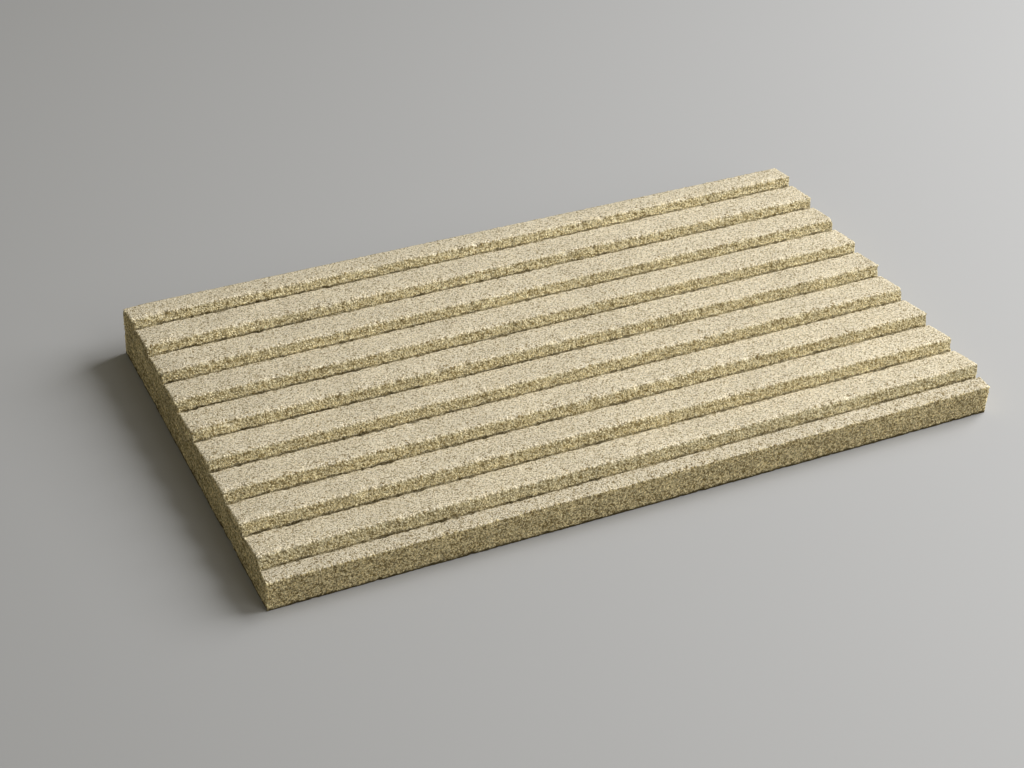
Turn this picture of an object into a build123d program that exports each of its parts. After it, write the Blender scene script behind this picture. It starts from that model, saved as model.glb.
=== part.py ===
"""Tapered lap-profile panel, made from one slab.

The top is worked into courses that run along the length, like lapped boards. Each course rises
a little towards the front and ends in a lip with a steep riser below it, and a notch at the
foot of the riser parts it from the next course. The lips grow taller from the rear to the front.
The panel lies flat: X runs along the courses, the risers face the front (-Y), and Z is measured
up from the underside.
"""

import os

from build123d import *

# Driving dimensions in millimetres
LENGTH = 1090.0
REAR_HEIGHT = 79.0
FRONT_HEIGHT = 46.0
REAR_COURSE = 46.0
FULL_COURSE = 65.0
FULL_COURSES = 8
FRONT_COURSE = 34.0
REAR_LIP_HEIGHT = 11.5
FRONT_LIP_HEIGHT = 16.0
RISER_LEAN = 4.0
NOTCH_WIDTH = 4.0
NOTCH_DEPTH = 8.0
LIP_RADIUS = 3.0
CORNER_RADIUS = 7.0

# Sizes that follow from these
WIDTH = REAR_COURSE + FULL_COURSES * FULL_COURSE + FRONT_COURSE
RISERS = FULL_COURSES + 1


def taper_height(y):
    """Height at y of the straight fall from the rear top edge to the front top edge."""
    return FRONT_HEIGHT + (REAR_HEIGHT - FRONT_HEIGHT) * (y / WIDTH + 0.5)


def lip_height(number):
    """Height of a lip above that fall, counted from the rear."""
    return REAR_LIP_HEIGHT + (FRONT_LIP_HEIGHT - REAR_LIP_HEIGHT) * number / FULL_COURSES


def riser_points(number):
    """Section points of one riser: its lip, its foot, and the start of the next course."""
    lip_y = WIDTH / 2 - REAR_COURSE - number * FULL_COURSE
    start_y = lip_y - RISER_LEAN - NOTCH_WIDTH
    lip = Vector(lip_y, taper_height(lip_y) + lip_height(number))
    foot = Vector(lip_y - RISER_LEAN, taper_height(lip_y) - NOTCH_DEPTH)
    next_course = Vector(start_y, taper_height(start_y))
    return lip, foot, next_course


def panel_section():
    """Outline across the courses, with the lips and the outer top edges rounded."""
    rear_top = Vector(WIDTH / 2, REAR_HEIGHT)
    front_top = Vector(-WIDTH / 2, FRONT_HEIGHT)
    points = [Vector(WIDTH / 2, 0), rear_top]
    rounded = [rear_top, front_top]
    for number in range(RISERS):
        lip, foot, next_course = riser_points(number)
        points += [lip, foot, next_course]
        rounded.append(lip)
    points += [front_top, Vector(-WIDTH / 2, 0)]
    outline = make_face(Polyline(*points, close=True))
    corners = [outline.vertices().sort_by_distance(point)[0] for point in rounded]
    return fillet(corners, LIP_RADIUS)


def slab():
    """The section run along the length, with its four upright corners rounded."""
    profile = extrude(Plane.YZ * panel_section(), LENGTH / 2, both=True)
    tallest = max(REAR_HEIGHT, FRONT_HEIGHT) + max(REAR_LIP_HEIGHT, FRONT_LIP_HEIGHT)
    plan = extrude(RectangleRounded(LENGTH, WIDTH, CORNER_RADIUS), tallest)
    return profile & plan


def riser_end_waste(number):
    """What is taken away to round the corners at both ends of a riser, from the notch upwards."""
    lip, foot, _ = riser_points(number)
    upward = lip - foot
    mouth = foot + upward * (NOTCH_DEPTH / upward.Y)
    riser_end = Plane((LENGTH / 2, mouth.X, mouth.Y), x_dir=(1, 0, 0), z_dir=(0, upward.X, upward.Y))
    block = Rectangle(CORNER_RADIUS, CORNER_RADIUS, align=(Align.MAX, Align.MIN))
    corner = block - Pos(-CORNER_RADIUS, CORNER_RADIUS) * Circle(CORNER_RADIUS)
    right = extrude(riser_end * corner, (lip - mouth).length + CORNER_RADIUS)
    return [right, mirror(right, Plane.YZ)]


panel = slab()
for number in range(RISERS):
    panel -= riser_end_waste(number)

os.makedirs("parts", exist_ok=True)
export_step(panel, "parts/panel.step")
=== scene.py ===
"""Looks of a lap-profile board: one slab of bonded mineral grains, its top stepped in long courses."""

import math

import bmesh
import bpy
from mathutils import Euler, Matrix, Vector, noise


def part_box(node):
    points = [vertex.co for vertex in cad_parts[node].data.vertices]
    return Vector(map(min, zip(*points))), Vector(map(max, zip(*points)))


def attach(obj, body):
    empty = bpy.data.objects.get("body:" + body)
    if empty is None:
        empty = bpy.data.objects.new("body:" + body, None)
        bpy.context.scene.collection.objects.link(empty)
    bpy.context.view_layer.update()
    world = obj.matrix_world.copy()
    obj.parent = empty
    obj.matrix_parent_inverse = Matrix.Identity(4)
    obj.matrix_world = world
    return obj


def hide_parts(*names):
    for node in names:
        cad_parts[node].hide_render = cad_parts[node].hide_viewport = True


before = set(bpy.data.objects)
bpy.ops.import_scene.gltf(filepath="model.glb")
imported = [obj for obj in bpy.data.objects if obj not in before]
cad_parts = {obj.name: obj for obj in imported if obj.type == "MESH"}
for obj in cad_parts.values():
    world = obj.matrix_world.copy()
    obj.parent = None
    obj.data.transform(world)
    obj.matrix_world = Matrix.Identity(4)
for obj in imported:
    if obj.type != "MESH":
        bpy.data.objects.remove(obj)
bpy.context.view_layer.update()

# Sizes of the board in metres, as in the part's source
BOARD_LOW, BOARD_HIGH = (Vector(corner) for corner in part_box("panel"))
LENGTH = BOARD_HIGH.x - BOARD_LOW.x
WIDTH = BOARD_HIGH.y - BOARD_LOW.y
REAR_HEIGHT = 0.079
FRONT_HEIGHT = 0.046
REAR_COURSE = 0.046
FULL_COURSE = 0.065
FULL_COURSES = 8
REAR_LIP_HEIGHT = 0.0115
FRONT_LIP_HEIGHT = 0.016
RISER_LEAN = 0.004
NOTCH_WIDTH = 0.004
NOTCH_DEPTH = 0.008
RISERS = FULL_COURSES + 1

# How finely the surface is divided
CUTS_ALONG = 320
CUTS_ACROSS_COURSE = 13
CUTS_UP_SIDE = 9
CUTS_UP_RISER = 5

# Wear of the surface, in metres or as a share
SHARPEST_ANGLE = math.radians(35)
EDGE_PASSES = 2
EDGE_SOFTENING = 0.5
BROAD_LENGTH = 0.035
FINE_LENGTH = 0.008
TREAD_WEAR = 0.00022
TREAD_BROAD_SHARE = 0.3
SAWN_WEAR = 0.0006
SAWN_BROAD_SHARE = 0.4
PIT_LENGTH = 0.010
PIT_START = 0.2
PIT_DEPTH = 0.004
BITE_LENGTH = 0.009
BITE_DEPTH = 0.0045
CHIP_LENGTH = 0.018
CHIP_START = 0.4
CHIP_DEPTH = 0.012
FRAY_LENGTH = 0.007
FRAY_DEPTH = 0.0035
FRAY_REACH = 0.004
LIP_REACH = 0.008
CORNER_REACH = 0.008
ARRIS_HEIGHT = 0.003
ARRIS_WEAR = 0.0005
SEED_SHIFT_Y = 2.7
SEED_SHIFT_Z = 0.4

# Shape of the two ends, in metres or as a share
SOFT_END = 0.005
END_LIP_SHARE = 0.85
END_NOTCH_SHARE = 0.4
NOTCH_BOTTOM = -1.05 * NOTCH_DEPTH
CREASE_SET_BACK = 0.0025
END_SAG = 0.03
END_SAG_REACH = 0.045
CRISP_END = 0.0204
CRISPNESS = 1.7
# Share of the sides' painted shade that the right end takes, since it lies in the light
RIGHT_END_SHARE = 0.5
RIM_REACH = 0.005
RIM_DEPTH = 0.002
# The left end's top rim is paler: partly wear, partly painted highlight against the shade where the
# courses roll over
RIM_WEAR_AND_HIGHLIGHT = 0.7

# Margins in metres that tell one face of the board from another
FLOOR_MARGIN = 1e-6
RISER_MARGIN = 0.001
LIP_MARGIN = 0.002
OUTER_BAND = 0.004
EDGE_BAND = 0.006
FAR = 0.05

# Limits of the normals and of nearness that tell one face from another
DOWNWARD = -0.9
OUTWARD = 0.5
SQUARELY_OUTWARD = 0.7
RIM_FRONTWARD = -0.4
RISER_FRONTWARD = -0.3
AT_CORNER = 0.5

# The maps that the finish is baked on, in metres of the board's surface
MAP_SIDE = 1.1
REAR_ROW = 0.645
END_ROW = 0.735
UNDERSIDE_ROW = 0.83
END_SCALE = 0.9
UNDERSIDE_SCALE = 0.4
RISER_SCALE = 0.4
GRAIN_FACES = 20
CELL_CORNERS = ((0.1, 0.1), (0.9, 0.1), (0.5, 0.9))

# How loose grains lie
CROWDING = 2.5
SUNK_SHARE = 0.65
FULL_TURN = 6.28


def taper_height(y):
    """Height at y of the straight fall from the rear top edge to the front top edge."""
    return FRONT_HEIGHT + (REAR_HEIGHT - FRONT_HEIGHT) * (y / WIDTH + 0.5)


def riser_place(number):
    """Place along Y of a riser, counted from the rear."""
    return WIDTH / 2 - REAR_COURSE - number * FULL_COURSE


def lip(number):
    """Section point at the top of a riser."""
    height = REAR_LIP_HEIGHT + (FRONT_LIP_HEIGHT - REAR_LIP_HEIGHT) * number / FULL_COURSES
    return riser_place(number), taper_height(riser_place(number)) + height


def foot(number):
    """Section point at the bottom of a riser, in the notch."""
    return riser_place(number) - RISER_LEAN, taper_height(riser_place(number)) - NOTCH_DEPTH


def next_course(number):
    """Section point where the course below a riser starts."""
    y = riser_place(number) - RISER_LEAN - NOTCH_WIDTH
    return y, taper_height(y)


REAR_TOP = (WIDTH / 2, REAR_HEIGHT)
FRONT_TOP = (-WIDTH / 2, FRONT_HEIGHT)
LIPS = [lip(number) for number in range(RISERS)] + [FRONT_TOP]
FEET = [foot(number) for number in range(RISERS)]
STARTS = [REAR_TOP] + [next_course(number) for number in range(RISERS)]
REAR_LEVEL = (WIDTH / 2, REAR_HEIGHT - NOTCH_DEPTH)
FRONT_LEVEL = (-WIDTH / 2, FRONT_HEIGHT - NOTCH_DEPTH)


def top_height(y):
    """Height at y of the course there, and of the taper where there is a notch."""
    for (start_y, start_z), (lip_y, lip_z) in zip(STARTS, LIPS):
        if lip_y <= y <= start_y:
            return start_z + (lip_z - start_z) * (start_y - y) / (start_y - lip_y)
    return taper_height(y)


def board_section(bm, x):
    """One end as three four-sided faces for each course: the arris, the body and the course itself."""
    levels = [REAR_LEVEL] + FEET + [FRONT_LEVEL]
    bases = [bm.verts.new((x, y, 0)) for y, z in levels]
    arrises = [bm.verts.new((x, y, ARRIS_HEIGHT)) for y, z in levels]
    feet = [bm.verts.new((x, y, z)) for y, z in levels]
    starts = [bm.verts.new((x, y, z)) for y, z in STARTS]
    lips = [bm.verts.new((x, y, z)) for y, z in LIPS]
    for course in range(RISERS + 1):
        bm.faces.new((bases[course], bases[course + 1], arrises[course + 1], arrises[course]))
        bm.faces.new((arrises[course], arrises[course + 1], feet[course + 1], feet[course]))
        bm.faces.new((feet[course], feet[course + 1], lips[course], starts[course]))
    return bases + arrises + feet + starts + lips


def board_block():
    """The two ends with plain faces between them, made in the same order each time."""
    bm = bmesh.new()
    left = board_section(bm, -LENGTH / 2)
    outline = [edge for edge in bm.edges if edge.is_boundary]
    right = board_section(bm, LENGTH / 2)
    partner = dict(zip(left, right))
    for edge in outline:
        first, second = edge.verts
        bm.faces.new((first, second, partner[second], partner[first]))
    return bm


def edge_span(edge):
    """Size of an edge along each axis."""
    return Vector(abs(value) for value in edge.verts[0].co - edge.verts[1].co)


def lies_along(edge):
    span = edge_span(edge)
    return span.x > span.y + span.z


def lies_across(edge):
    span = edge_span(edge)
    return not lies_along(edge) and span.z <= span.y / 2


def stands_up(edge):
    return not lies_along(edge) and not lies_across(edge)


def lowest(edge):
    return min(vert.co.z for vert in edge.verts)


def divide(bm, edges, cuts):
    bmesh.ops.subdivide_edges(bm, edges=edges, cuts=cuts, use_grid_fill=True)


def board_grid():
    """The block divided into a fine grid, with a plain flat underside."""
    bm = board_block()
    divide(bm, [edge for edge in bm.edges if lies_across(edge)], CUTS_ACROSS_COURSE)
    upright = [edge for edge in bm.edges if stands_up(edge) and lowest(edge) > ARRIS_HEIGHT / 2]
    sides = [edge for edge in upright if lowest(edge) < 2 * ARRIS_HEIGHT]
    risers = [edge for edge in upright if lowest(edge) > 2 * ARRIS_HEIGHT]
    divide(bm, sides, CUTS_UP_SIDE)
    divide(bm, [edge for edge in risers if edge.is_valid], CUTS_UP_RISER)
    underside = [face for face in bm.faces if all(on_floor(vert) for vert in face.verts)]
    bmesh.ops.delete(bm, geom=underside, context="FACES")
    divide(bm, [edge for edge in bm.edges if lies_along(edge)], CUTS_ALONG)
    bmesh.ops.edgeloop_fill(bm, edges=[edge for edge in bm.edges if edge.is_boundary])
    bmesh.ops.recalc_face_normals(bm, faces=bm.faces[:])
    mark_underside(bm)
    return bm


def mark_underside(bm):
    """Keeps the underside flat, with a sharp edge all round, and notes it for the finish."""
    layer = bm.faces.layers.float.new("underside")
    for face in bm.faces:
        face.smooth = face.normal.z > DOWNWARD
        face[layer] = 0 if face.smooth else 1
    for edge in bm.edges:
        edge.smooth = all(face.smooth for face in edge.link_faces)


def on_floor(vert):
    return vert.co.z < FLOOR_MARGIN


def gather_left_cuts(bm):
    """Draws the cuts nearest the left end together, so that its top edge stays crisp."""
    for vert in bm.verts:
        inset = (vert.co.x + LENGTH / 2) / CRISP_END
        if 0 < inset < 1:
            vert.co.x = CRISP_END * inset ** CRISPNESS - LENGTH / 2


def set_back(place):
    """1 at the ends of the creases, falling away towards the lips, the underside and the corners."""
    relief = place.z - taper_height(place.y)
    low = 1 - min(max(relief, 0) / REAR_LIP_HEIGHT, 1)
    high = min(place.z / taper_height(place.y), 1) ** 2
    from_rear = (WIDTH / 2 - place.y) / REAR_COURSE
    from_front = (WIDTH / 2 + place.y) / (WIDTH / 2 + LIPS[-2][0])
    return low * high * min(from_rear, from_front, 1)


def soften_left_end(bm):
    """Makes the left end's top edge nearly straight: lower lips, filled notches, creases set back."""
    for vert in bm.verts:
        inset = vert.co.x + LENGTH / 2
        relief = vert.co.z - taper_height(vert.co.y)
        if inset < CRISP_END:
            vert.co.x += CREASE_SET_BACK * set_back(vert.co) * (1 - inset / CRISP_END)
        if inset < SOFT_END and relief > NOTCH_BOTTOM:
            at_end = END_LIP_SHARE if relief > 0 else END_NOTCH_SHARE
            share = at_end + (1 - at_end) * math.sin(inset / SOFT_END * math.pi / 2)
            vert.co.z += relief * (share - 1)
    bm.normal_update()


def sag_left_end(bm):
    """Lets the height fall off towards the left end."""
    for vert in bm.verts:
        near = max(1 - (vert.co.x + LENGTH / 2) / END_SAG_REACH, 0)
        vert.co.z *= 1 - END_SAG * near ** 2
    bm.normal_update()


def smooth(bm, verts, passes):
    for _ in range(passes):
        bmesh.ops.smooth_vert(
            bm, verts=verts, factor=EDGE_SOFTENING, use_axis_x=True, use_axis_y=True, use_axis_z=True
        )
    bm.normal_update()


def round_edges(bm):
    """Softens every sharp edge above the floor, and shades the left end's top edge sharply."""
    sharp = [edge for edge in bm.edges if edge.calc_face_angle_signed(0) > SHARPEST_ANGLE]
    worn = {vert for edge in sharp for vert in edge.verts if not on_floor(vert)}
    smooth(bm, list(worn), EDGE_PASSES)
    for edge in sharp:
        middle = (edge.verts[0].co + edge.verts[1].co) / 2
        at_left_end = middle.x < EDGE_BAND - LENGTH / 2 and not lies_along(edge)
        if at_left_end and corner_nearness(middle) < AT_CORNER:
            edge.smooth = False


def nearness(place, spots, reach):
    """1 at the nearest of the spots in the section, falling away over the reach."""
    gap = min(math.hypot(place.y - y, place.z - z) for y, z in spots)
    return math.exp(-((gap / reach) ** 2))


def corner_nearness(place):
    """1 along the four upright corners, falling away over the corner's reach."""
    gap = math.hypot(abs(place.x) - LENGTH / 2, abs(place.y) - WIDTH / 2)
    return math.exp(-((gap / CORNER_REACH) ** 2))


def rim_nearness(place):
    """1 along the top edge of the left end, falling away along the courses and down the end."""
    inset = (place.x + LENGTH / 2) / RIM_REACH
    below = max(top_height(place.y) - place.z, 0) / RIM_DEPTH
    return math.exp(-(inset ** 2) - below ** 2)


def height_on_riser(place):
    """How far a place on a riser lies above its foot, and far for all other places."""
    for (foot_y, foot_z), (lip_y, lip_z) in zip(FEET, LIPS):
        within = foot_y - RISER_MARGIN < place.y < lip_y + LIP_MARGIN
        if within and place.z > foot_z - RISER_MARGIN:
            return place.z - foot_z
    return FAR


def faces_outward(vert):
    """True on the front, the rear and the two ends."""
    outer_x = abs(vert.co.x) > LENGTH / 2 - OUTER_BAND and abs(vert.normal.x) > OUTWARD
    outer_y = abs(vert.co.y) > WIDTH / 2 - OUTER_BAND and abs(vert.normal.y) > OUTWARD
    return outer_x or outer_y


def uprightness(vert):
    """0 on level ground, 1 on an upright face."""
    return 1 - max(vert.normal.z, 0) ** 2


def mark_surface(bm):
    """Notes on each vertex which face it is on, and how near it is to a lip, crease, corner or rim."""
    layers = bm.verts.layers.float
    sawn, lip, crease = (layers.new(name) for name in ("sawn", "lip", "above_crease"))
    tread, riser, side = (layers.new(name) for name in ("tread", "riser", "side"))
    end, worn, front = (layers.new(name) for name in ("end", "worn", "front_course"))
    for vert in bm.verts:
        vert[sawn] = uprightness(vert)
        vert[lip] = nearness(vert.co, LIPS, LIP_REACH)
        outward = faces_outward(vert) and not on_floor(vert)
        vert[crease] = FAR if outward else height_on_riser(vert.co)
        rim = rim_nearness(vert.co) if vert.normal.y > RIM_FRONTWARD else 0
        vert[side] = vert[sawn] * (1 - rim) if outward else 0
        vert[end] = abs(vert.normal.x) if outward else 0
        # The right end lies in the light, so it takes less of the sides' painted shade and of the end
        # streaks
        if vert.normal.x > OUTWARD:
            vert[side] *= RIGHT_END_SHARE
            vert[end] *= RIGHT_END_SHARE
        # Paleness along the upright corners and the left end's top rim: partly wear, partly painted
        # highlight
        vert[worn] = max(corner_nearness(vert.co), RIM_WEAR_AND_HIGHLIGHT * rim)
        vert[tread] = 1 - vert[sawn]
        vert[front] = vert[tread] if vert.co.y < STARTS[-1][0] + RISER_MARGIN else 0
        on_riser = vert.normal.y < RISER_FRONTWARD and not outward and not on_floor(vert)
        vert[riser] = vert[sawn] if on_riser else 0


def unevenness(place, length, seed):
    """Smooth noise from -1 to 1 whose bumps are about the given length apart."""
    return noise.noise(place / length + Vector((seed, SEED_SHIFT_Y * seed, SEED_SHIFT_Z * seed)))


def wear_depth(place, sawn, lip):
    """How far the worn surface lies below the moulded one."""
    broad = unevenness(place, BROAD_LENGTH, seed=1)
    fine = unevenness(place, FINE_LENGTH, seed=2)
    pits = max(unevenness(place, PIT_LENGTH, seed=3) - PIT_START, 0)
    bites = max(unevenness(place, BITE_LENGTH, seed=5), 0)
    chips = max(unevenness(place, CHIP_LENGTH, seed=4) - CHIP_START, 0)
    tread = TREAD_WEAR * (1 + fine + TREAD_BROAD_SHARE * broad)
    broken = SAWN_WEAR * (1 + fine + SAWN_BROAD_SHARE * broad) + PIT_DEPTH * pits
    return tread + (broken - tread) * sawn + (BITE_DEPTH * bites + CHIP_DEPTH * chips) * lip


def wear_surface(bm):
    """Lowers the surface unevenly, most on the broken faces, along the lips and below the creases."""
    sawn = bm.verts.layers.float["sawn"]
    lip = bm.verts.layers.float["lip"]
    for vert in bm.verts:
        inward = -vert.normal
        depth = wear_depth(vert.co, vert[sawn], vert[lip])
        fray = max(unevenness(vert.co, FRAY_LENGTH, seed=6), 0)
        depth += FRAY_DEPTH * fray * nearness(vert.co, STARTS[1:], FRAY_REACH)
        if on_floor(vert):
            inward = Vector((inward.x, inward.y, 0)).normalized()
            depth += ARRIS_WEAR
        vert.co += inward * depth
    bm.normal_update()
    for vert in bm.verts:
        vert[sawn] = uprightness(vert)


def new_piece(name, mesh):
    """Shows a mesh as an object that moves with the board."""
    piece = bpy.data.objects.new(name, mesh)
    bpy.context.collection.objects.link(piece)
    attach(piece, "root")
    return piece


def flat_place(face):
    """Where one side's faces lie in the bake's map, as a function of the place on the board."""
    middle = face.calc_center_median()
    if face.normal.z < DOWNWARD:
        return lambda co: (
            UNDERSIDE_SCALE * (co.x + LENGTH / 2), UNDERSIDE_ROW + UNDERSIDE_SCALE * (co.y + WIDTH / 2)
        )
    if face.normal.y > SQUARELY_OUTWARD and middle.y > WIDTH / 2 - EDGE_BAND:
        return lambda co: (co.x + LENGTH / 2, REAR_ROW + co.z)
    if abs(face.normal.x) > SQUARELY_OUTWARD and abs(middle.x) > LENGTH / 2 - EDGE_BAND:
        start = LENGTH / 2 if middle.x > 0 else 0
        return lambda co: (start + END_SCALE * (co.y + WIDTH / 2), END_ROW + END_SCALE * co.z)
    return lambda co: (co.x + LENGTH / 2, WIDTH / 2 - co.y + RISER_SCALE * (REAR_HEIGHT - co.z))


def board_map(bm):
    """Lays the board's sides flat for the bake, in rows: courses and front, rear, ends, underside."""
    layer = bm.loops.layers.uv.new("OFBake")
    for face in bm.faces:
        spread = flat_place(face)
        for loop in face.loops:
            loop[layer].uv = Vector(spread(loop.vert.co)) / MAP_SIDE


def board_mesh():
    bm = board_grid()
    gather_left_cuts(bm)
    soften_left_end(bm)
    round_edges(bm)
    mark_surface(bm)
    wear_surface(bm)
    sag_left_end(bm)
    board_map(bm)
    mesh = bpy.data.meshes.new("board")
    bm.to_mesh(mesh)
    bm.free()
    return mesh


def link_chain(tree, *pairs):
    """Joins each pair of output and input sockets."""
    for source, target in pairs:
        tree.links.new(source, target)


def random_between(tree, kind, low, high, seed):
    node = tree.nodes.new("FunctionNodeRandomValue")
    node.data_type = kind
    lowest = [socket for socket in node.inputs if socket.name == "Min" and socket.enabled][0]
    highest = [socket for socket in node.inputs if socket.name == "Max" and socket.enabled][0]
    lowest.default_value = low
    highest.default_value = high
    node.inputs["Seed"].default_value = seed
    return [socket for socket in node.outputs if socket.enabled][0]


def grain_nodes(name, face, gap, smallest, largest, seed):
    """Sets grains of one size range over one kind of face, partly sunk, and makes them one mesh."""
    tree = bpy.data.node_groups.new(name, "GeometryNodeTree")
    tree.interface.new_socket("Board", in_out="INPUT", socket_type="NodeSocketGeometry")
    tree.interface.new_socket("Grains", in_out="OUTPUT", socket_type="NodeSocketGeometry")
    board_in = tree.nodes.new("NodeGroupInput").outputs["Board"]
    grains_out = tree.nodes.new("NodeGroupOutput").inputs["Grains"]
    share = tree.nodes.new("GeometryNodeInputNamedAttribute")
    share.data_type = "FLOAT"
    share.inputs["Name"].default_value = face
    scatter = tree.nodes.new("GeometryNodeDistributePointsOnFaces")
    scatter.distribute_method = "POISSON"
    scatter.inputs["Distance Min"].default_value = gap
    scatter.inputs["Density Max"].default_value = CROWDING / gap ** 2
    scatter.inputs["Seed"].default_value = seed
    sink = tree.nodes.new("ShaderNodeVectorMath")
    sink.operation = "SCALE"
    sink.inputs["Scale"].default_value = -SUNK_SHARE * smallest
    lower = tree.nodes.new("GeometryNodeSetPosition")
    grain = tree.nodes.new("GeometryNodeMeshIcoSphere")
    grain.inputs["Subdivisions"].default_value = 1
    place = tree.nodes.new("GeometryNodeInstanceOnPoints")
    tint = tree.nodes.new("GeometryNodeStoreNamedAttribute")
    tint.data_type = "FLOAT"
    tint.domain = "INSTANCE"
    tint.inputs["Name"].default_value = "tint"
    join = tree.nodes.new("GeometryNodeRealizeInstances")
    turns = random_between(tree, "FLOAT_VECTOR", [0] * 3, [FULL_TURN] * 3, seed + 1)
    sizes = random_between(tree, "FLOAT_VECTOR", [smallest] * 3, [largest] * 3, seed + 2)
    tints = random_between(tree, "FLOAT", 0.0, 1.0, seed + 3)
    link_chain(
        tree,
        (board_in, scatter.inputs["Mesh"]),
        (share.outputs["Attribute"], scatter.inputs["Density Factor"]),
        (scatter.outputs["Points"], lower.inputs["Geometry"]),
        (scatter.outputs["Normal"], sink.inputs[0]),
        (sink.outputs["Vector"], lower.inputs["Offset"]),
        (lower.outputs["Geometry"], place.inputs["Points"]),
        (grain.outputs["Mesh"], place.inputs["Instance"]),
        (turns, place.inputs["Rotation"]),
        (sizes, place.inputs["Scale"]),
        (place.outputs["Instances"], tint.inputs["Geometry"]),
        (tints, tint.inputs["Value"]),
        (tint.outputs["Geometry"], join.inputs["Geometry"]),
        (join.outputs["Geometry"], grains_out),
    )
    return tree


def grain_map(mesh):
    """Gives each grain a cell of its own in the bake's map, since a grain has one colour."""
    cells = math.ceil(math.sqrt(len(mesh.polygons) / GRAIN_FACES))
    layer = mesh.uv_layers.new(name="OFBake")
    for face in mesh.polygons:
        row, column = divmod(face.index // GRAIN_FACES, cells)
        for loop, (across, up) in zip(face.loop_indices, CELL_CORNERS):
            layer.uv[loop].vector = ((column + across) / cells, (row + up) / cells)


def loose_grains(board, name, face, gap, smallest, largest, seed):
    """Scatters grains over one kind of face of the board and keeps them as a plain mesh."""
    piece = bpy.data.objects.new(name, board.data)
    bpy.context.collection.objects.link(piece)
    spread = piece.modifiers.new("spread", "NODES")
    spread.node_group = grain_nodes(name, face, gap, smallest, largest, seed)
    depsgraph = bpy.context.evaluated_depsgraph_get()
    mesh = bpy.data.meshes.new_from_object(piece.evaluated_get(depsgraph))
    mesh.name = name
    bpy.data.objects.remove(piece)
    for vert in mesh.vertices:
        for axis in range(3):
            vert.co[axis] = min(max(vert.co[axis], BOARD_LOW[axis]), BOARD_HIGH[axis])
    mesh.shade_smooth()
    grain_map(mesh)
    return new_piece(name, mesh)


# Colours, tones and shares of the finish; a tone of 1 leaves a colour as it is
GRAIN_SIZE = 0.0017
GRAIN_COLOURS = [
    (0.0, (0.27, 0.205, 0.1)),
    (0.09, (0.42, 0.33, 0.175)),
    (0.18, (0.74, 0.63, 0.42)),
    (0.5, (0.86, 0.755, 0.545)),
    (1.0, (0.94, 0.855, 0.67)),
]
# Dark colour of pits, specks and holes: partly their own colour, partly painted shade in the hollows
PIT_COLOUR_AND_SHADE = (0.26, 0.2, 0.095)
# Colours of upright faces, sides and ends: partly their own colour, partly painted warm shade set for
# the shade they lie in
UPRIGHT_COLOUR_AND_SHADE = (1.0, 1.0, 0.87)
SIDE_COLOUR_AND_SHADE = (0.833, 0.79, 0.696)
END_COLOUR_AND_SHADE = (1.08, 1.09, 1.08)
# Painted shade: the dark colour put into the creases at the riser feet and along the base of the sides
PAINTED_SHADE_COLOUR = (0.07, 0.052, 0.02)
PATCH_TONES = (0.94, 1.06)
WORN_AND_HIGHLIGHT_TONE = 1.4
FRONT_COURSE_SHADE = 0.87
LIP_TONE = 1.08
# Painted light on the lower riser
FOOT_PAINTED_LIGHT = 1.25
GAP_SHADE_TONE = 0.64
STREAK_TONES = (-0.5, 0.5)
TREAD_MOTTLE, SAWN_MOTTLE, SIDE_MOTTLE = 0.04, 0.24, 0.3
SPECK_SHARE = 0.93
PIT_SHARE = 0.85
HOLE_SHARE = 0.75
BREAK_SHARES = (0.5, 0.95)
SUNLIT_SHARE = 0.82
# Share of painted shadow along the base of the sides
BASE_SHADE_SHARE = 0.95
TREAD_BUMP, SAWN_BUMP = 0.68, 0.9
ROUGHNESS = 0.95
GLOSS = 0.2

# Lengths and bands of the finish in metres
PATCH_LENGTH = 0.07
MOTTLE_LENGTH = 0.003
STREAK_LENGTH = 0.005
SPECK_LENGTH = 0.0027
PIT_SPOT_LENGTH = 0.0045
HOLE_LENGTH = 0.007
BREAK_LENGTH = 0.025
WAVER_LENGTH = 0.007
WAVER = 0.0016
FOOT_BAND = (0.006, 0.014)
# Heights above a riser's foot over which the crease's painted shade fades out
CREASE_SHADE_BAND = (0.0045, 0.0062)
SUNLIT_BAND = (-0.35, 0.15)
BASE_SHADE_BAND = (0.0026, 0.0048)
HOLES_START = (0.008, 0.014)
HOLES_END = (0.03, 0.04)
BUMP_DEPTH = 0.0012

# Parts of a noise's or a grain's range that a pattern takes up
WAVE_BAND = (0.3, 0.7)
SPECK_BAND = (0.608, 0.65)
PIT_BAND = (0.585, 0.65)
HOLE_BAND = (0.56, 0.64)
BREAK_BAND = (0.35, 0.65)
GAP_BAND = (0.45, 0.85)
DOME_BAND = (0.0, 0.9)
STREAK_SQUEEZE = (1, 0.2, 1)


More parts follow.
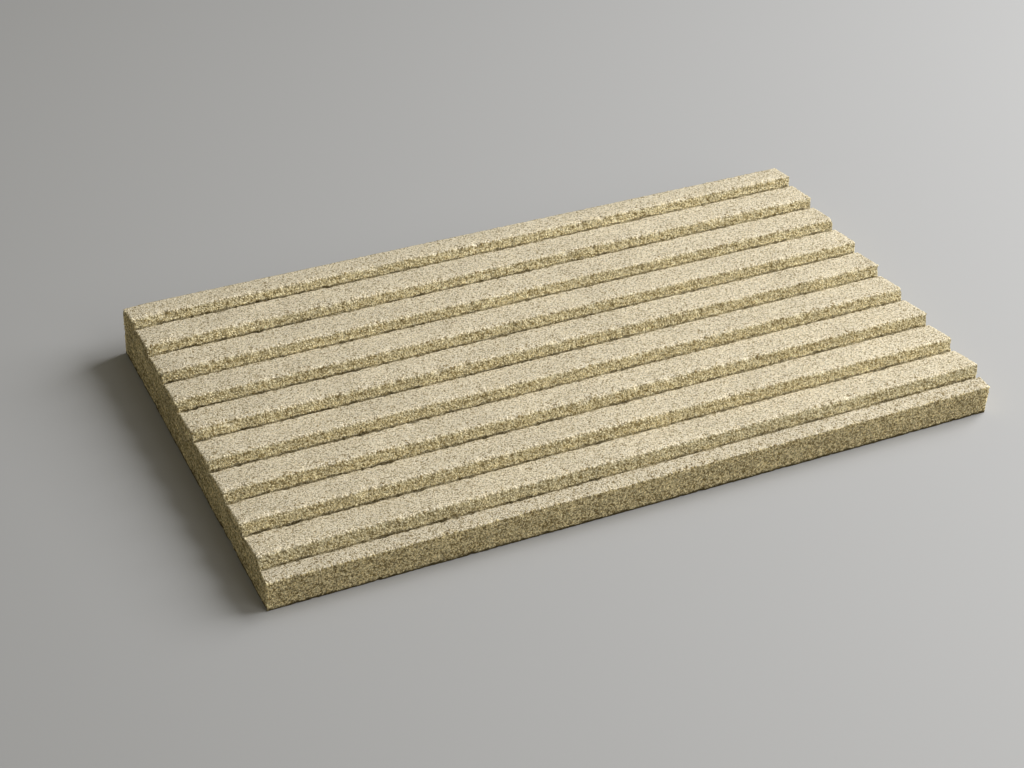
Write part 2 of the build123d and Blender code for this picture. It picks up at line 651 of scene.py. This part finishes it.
class Finish:
    """Short ways to add nodes to one material."""

    def __init__(self, name):
        self.material = bpy.data.materials.new(name)
        self.material.use_nodes = True
        self.tree = self.material.node_tree
        self.shader = self.tree.nodes["Principled BSDF"]
        self.place = self.tree.nodes.new("ShaderNodeTexCoord").outputs["Object"]

    def fill(self, socket, value):
        if isinstance(value, bpy.types.NodeSocket):
            self.tree.links.new(value, socket)
        elif isinstance(value, tuple):
            socket.default_value = (*value, 1)
        else:
            socket.default_value = value

    def attribute(self, name):
        node = self.tree.nodes.new("ShaderNodeAttribute")
        node.attribute_name = name
        return node.outputs["Fac"]

    def squeezed(self, scale):
        """Object coordinates drawn together along each axis, which draws a pattern out there."""
        node = self.tree.nodes.new("ShaderNodeMapping")
        self.fill(node.inputs["Vector"], self.place)
        node.inputs["Scale"].default_value = scale
        return node.outputs["Vector"]

    def noise(self, length, detail, place=None):
        node = self.tree.nodes.new("ShaderNodeTexNoise")
        self.fill(node.inputs["Vector"], place or self.place)
        node.inputs["Scale"].default_value = 1 / length
        node.inputs["Detail"].default_value = detail
        return node.outputs["Fac"]

    def cells(self, length):
        node = self.tree.nodes.new("ShaderNodeTexVoronoi")
        self.fill(node.inputs["Vector"], self.place)
        node.inputs["Scale"].default_value = 1 / length
        return node.outputs

    def stretch(self, value, low, high, new_low=0.0, new_high=1.0):
        node = self.tree.nodes.new("ShaderNodeMapRange")
        self.fill(node.inputs["Value"], value)
        node.inputs["From Min"].default_value = low
        node.inputs["From Max"].default_value = high
        node.inputs["To Min"].default_value = new_low
        node.inputs["To Max"].default_value = new_high
        return node.outputs["Result"]

    def mark(self, name, at_none, at_full):
        """A value that goes with one of the marks on the board, from where it is 0 to where it is 1."""
        return self.stretch(self.attribute(name), 0, 1, at_none, at_full)

    def waves(self, length, detail, low, high, place=None):
        """Noise that rises and falls between two values."""
        return self.stretch(self.noise(length, detail, place), *WAVE_BAND, low, high)

    def spots(self, length, detail, band, share):
        """Noise that is 0 but for spots of the given share."""
        return self.stretch(self.noise(length, detail), *band, 0.0, share)

    def math(self, operation, first, second):
        node = self.tree.nodes.new("ShaderNodeMath")
        node.operation = operation
        self.fill(node.inputs[0], first)
        self.fill(node.inputs[1], second)
        return node.outputs["Value"]

    def ramp(self, value, stops):
        node = self.tree.nodes.new("ShaderNodeValToRGB")
        self.fill(node.inputs["Fac"], value)
        while len(node.color_ramp.elements) < len(stops):
            node.color_ramp.elements.new(0.5)
        for element, (position, colour) in zip(node.color_ramp.elements, stops):
            element.position = position
            element.color = (*colour, 1)
        return node.outputs["Color"]

    def mix(self, share, first, second, blend="MIX"):
        node = self.tree.nodes.new("ShaderNodeMix")
        node.data_type = "RGBA"
        node.blend_type = blend
        self.fill(node.inputs["Factor"], share)
        first_socket, second_socket = node.inputs[6], node.inputs[7]
        self.fill(first_socket, first)
        self.fill(second_socket, second)
        return node.outputs[2]

    def grey(self, value):
        node = self.tree.nodes.new("ShaderNodeCombineColor")
        for channel in ("Red", "Green", "Blue"):
            self.fill(node.inputs[channel], value)
        return node.outputs["Color"]

    def scale(self, colour, amount):
        """A colour made lighter or darker by an amount that is 1 where it stays."""
        return self.mix(1.0, colour, self.grey(amount), "MULTIPLY")

    def along(self, axis):
        """Place on the board along X, Y or Z."""
        node = self.tree.nodes.new("ShaderNodeSeparateXYZ")
        self.fill(node.inputs["Vector"], self.place)
        return node.outputs[axis]

    def red_of(self, colour):
        node = self.tree.nodes.new("ShaderNodeSeparateColor")
        self.fill(node.inputs["Color"], colour)
        return node.outputs["Red"]

    def bump(self, height, depth, strength):
        node = self.tree.nodes.new("ShaderNodeBump")
        self.fill(node.inputs["Height"], height)
        node.inputs["Distance"].default_value = depth
        self.fill(node.inputs["Strength"], strength)
        self.fill(self.shader.inputs["Normal"], node.outputs["Normal"])


def weather(finish, colour):
    """Patches of tone; the deeper colour of broken faces and sides, partly painted shade; paleness
    along corners and rim, partly painted highlight; painted light low on the risers and painted shade
    on the front course; painted shade in the creases and along the base; on any grain colour.
    """
    colour = finish.scale(colour, finish.waves(PATCH_LENGTH, 4, *PATCH_TONES))
    # Deeper colours of upright faces, sides and ends, partly painted shade
    for name, tint in (("sawn", UPRIGHT_COLOUR_AND_SHADE), ("side", SIDE_COLOUR_AND_SHADE), ("end", END_COLOUR_AND_SHADE)):
        tinted = finish.mix(1.0, colour, tint, "MULTIPLY")
        colour = finish.mix(finish.attribute(name), colour, tinted)
    # Painted highlight with wear: lighter along the upright corners and the left end's top rim
    colour = finish.scale(colour, finish.mark("worn", 1.0, WORN_AND_HIGHLIGHT_TONE))
    # Painted shade: the front course darkened against the extra light it gets from the reflector
    colour = finish.scale(colour, finish.mark("front_course", 1.0, FRONT_COURSE_SHADE))
    pale_lip = finish.math("MULTIPLY", finish.attribute("lip"), finish.mark("sawn", 1.0, 0.0))
    colour = finish.scale(colour, finish.stretch(pale_lip, 0, 1, 1.0, LIP_TONE))
    waver = finish.waves(WAVER_LENGTH, 3, -WAVER, WAVER)
    above_crease = finish.math("ADD", finish.attribute("above_crease"), waver)
    # Painted light: the riser lightened towards its foot, against the shade in the notch
    colour = finish.scale(colour, finish.stretch(above_crease, *FOOT_BAND, FOOT_PAINTED_LIGHT, 1.0))
    # Painted shade in the crease at each riser's foot, broken up along its length and lighter towards
    # the sunlit right
    crease = finish.stretch(above_crease, *CREASE_SHADE_BAND, 1.0, 0.0)
    breaks = finish.stretch(finish.noise(BREAK_LENGTH, 2), *BREAK_BAND, *BREAK_SHARES)
    crease = finish.math("MULTIPLY", crease, breaks)
    sunlit = finish.stretch(finish.along("X"), *SUNLIT_BAND, 1.0, SUNLIT_SHARE)
    crease = finish.math("MULTIPLY", crease, sunlit)
    colour = finish.mix(crease, colour, PAINTED_SHADE_COLOUR)
    # Painted shadow along the base of the sides where they meet the floor, left off the underside
    base_shade = finish.stretch(finish.math("ADD", finish.along("Z"), waver), *BASE_SHADE_BAND, BASE_SHADE_SHARE, 0.0)
    base_shade = finish.math("MULTIPLY", base_shade, finish.mark("underside", 1.0, 0.0))
    colour = finish.mix(base_shade, colour, PAINTED_SHADE_COLOUR)
    finish.fill(finish.shader.inputs["Base Color"], colour)
    finish.shader.inputs["Roughness"].default_value = ROUGHNESS
    finish.shader.inputs["Specular IOR Level"].default_value = GLOSS


def bound_grain_finish():
    """Grains bound in the board: a colour to each, painted shade between them, and dark specks, holes
    and pits on the broken faces, partly their own colour and partly painted shade in hollows that the
    bump sinks.
    """
    finish = Finish("bound_grain")
    grains = finish.cells(GRAIN_SIZE)
    colour = finish.ramp(finish.red_of(grains["Color"]), GRAIN_COLOURS)
    # Painted shade in the gaps between grains
    colour = finish.scale(colour, finish.stretch(grains["Distance"], *GAP_BAND, 1.0, GAP_SHADE_TONE))
    sawn_contrast = finish.mark("sawn", TREAD_MOTTLE, SAWN_MOTTLE)
    contrast = finish.math("ADD", sawn_contrast, finish.mark("side", 0.0, SIDE_MOTTLE))
    mottle = finish.math("MULTIPLY", finish.waves(MOTTLE_LENGTH, 1, -1.0, 1.0), contrast)
    colour = finish.scale(colour, finish.math("ADD", mottle, 1.0))
    streaks = finish.waves(STREAK_LENGTH, 3, *STREAK_TONES, finish.squeezed(STREAK_SQUEEZE))
    streaks = finish.math("MULTIPLY", streaks, finish.attribute("end"))
    colour = finish.scale(colour, finish.math("ADD", streaks, 1.0))
    specks = finish.spots(SPECK_LENGTH, 1, SPECK_BAND, SPECK_SHARE)
    pits = finish.spots(PIT_SPOT_LENGTH, 2, PIT_BAND, 1.0)
    pits = finish.math("MULTIPLY", pits, finish.mark("sawn", 0.0, PIT_SHARE))
    above_crease = finish.attribute("above_crease")
    holes = finish.spots(HOLE_LENGTH, 2, HOLE_BAND, HOLE_SHARE)
    holes = finish.math("MULTIPLY", holes, finish.stretch(above_crease, *HOLES_START))
    holes = finish.math("MULTIPLY", holes, finish.stretch(above_crease, *HOLES_END, 1.0, 0.0))
    pits = finish.math("MAXIMUM", finish.math("MAXIMUM", pits, holes), specks)
    # Pits, specks and holes darkened: partly their own colour, partly painted shade in the hollows the
    # bump sinks
    colour = finish.mix(pits, colour, PIT_COLOUR_AND_SHADE)
    weather(finish, colour)
    domes = finish.stretch(grains["Distance"], *DOME_BAND, 1.0, 0.0)
    height = finish.math("SUBTRACT", domes, pits)
    finish.bump(height, BUMP_DEPTH, finish.mark("sawn", TREAD_BUMP, SAWN_BUMP))
    return finish.material


def loose_grain_finish():
    """Grains that stand out of the surface, each of one colour."""
    finish = Finish("loose_grain")
    colour = finish.ramp(finish.attribute("tint"), GRAIN_COLOURS)
    weather(finish, colour)
    return finish.material


board = new_piece("board", board_mesh())
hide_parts("panel")
board.data.materials.append(bound_grain_finish())
grain_finish = loose_grain_finish()
for grains in (
    loose_grains(board, "lip_grains", "lip", gap=0.0034, smallest=0.0012, largest=0.0025, seed=11),
    loose_grains(board, "riser_grains", "riser", gap=0.0038, smallest=0.0010, largest=0.0020, seed=21),
    loose_grains(board, "side_grains", "side", gap=0.0042, smallest=0.0010, largest=0.0019, seed=31),
    loose_grains(board, "tread_grains", "tread", gap=0.0062, smallest=0.0009, largest=0.0016, seed=41),
):
    grains.data.materials.clear()
    grains.data.materials.append(grain_finish)

# Camera, taken from the photograph's edges and crease lines
CAMERA_PLACE = Vector((-1.1493, -2.1195, 1.7545))
CAMERA_HEADING = math.radians(27.06)
CAMERA_DIP = math.radians(36.15)
CAMERA_ROLL = math.radians(2.94)
CAMERA_LENS_MM = 72.56
CAMERA_SENSOR_MM = 36.0

# Floor
FLOOR_REACH = 20
FLOOR_COLOUR = (0.426, 0.423, 0.415)
FLOOR_ROUGHNESS = 0.9


def add_camera():
    data = bpy.data.cameras.new("camera")
    data.sensor_width = CAMERA_SENSOR_MM
    data.lens = CAMERA_LENS_MM
    camera = bpy.data.objects.new("camera", data)
    aim = Euler((math.pi / 2 - CAMERA_DIP, 0, -CAMERA_HEADING)).to_matrix()
    turn = aim @ Matrix.Rotation(CAMERA_ROLL, 3, "Z")
    camera.matrix_world = Matrix.Translation(CAMERA_PLACE) @ turn.to_4x4()
    bpy.context.collection.objects.link(camera)
    bpy.context.scene.camera = camera


def add_floor():
    bm = bmesh.new()
    bmesh.ops.create_grid(bm, x_segments=1, y_segments=1, size=FLOOR_REACH)
    mesh = bpy.data.meshes.new("floor")
    bm.to_mesh(mesh)
    bm.free()
    floor = bpy.data.objects.new("floor", mesh)
    bpy.context.collection.objects.link(floor)
    material = bpy.data.materials.new("pale_floor")
    material.use_nodes = True
    shader = material.node_tree.nodes["Principled BSDF"]
    shader.inputs["Base Color"].default_value = (*FLOOR_COLOUR, 1)
    shader.inputs["Roughness"].default_value = FLOOR_ROUGHNESS
    floor.data.materials.append(material)


def add_lamp(name, place, aim, size, watts, colour):
    data = bpy.data.lights.new(name, "AREA")
    data.shape = "SQUARE"
    data.color = colour
    data.size = size
    data.energy = watts
    lamp = bpy.data.objects.new(name, data)
    lamp.location = place
    lamp.rotation_euler = (Vector(aim) - Vector(place)).to_track_quat("-Z", "Y").to_euler()
    bpy.context.collection.objects.link(lamp)


def add_world(colour, strength):
    world = bpy.data.worlds.new("studio")
    bpy.context.scene.world = world
    world.use_nodes = True
    background = world.node_tree.nodes["Background"]
    background.inputs["Color"].default_value = (*colour, 1)
    background.inputs["Strength"].default_value = strength


add_camera()
add_floor()
add_lamp(
    "window", place=(3.3, -0.2, 3.0), aim=(-1.5, -1.5, 0), size=3.5, watts=286, colour=(0.952, 0.964, 1)
)
add_lamp("reflector", place=(0.53, -1.8, 1.6), aim=(1.2, 1.0, 0), size=1.5, watts=12, colour=(1, 1, 1))
add_world(colour=(1, 0.94, 0.76), strength=0.186)
bpy.context.scene.view_settings.view_transform = "Standard"
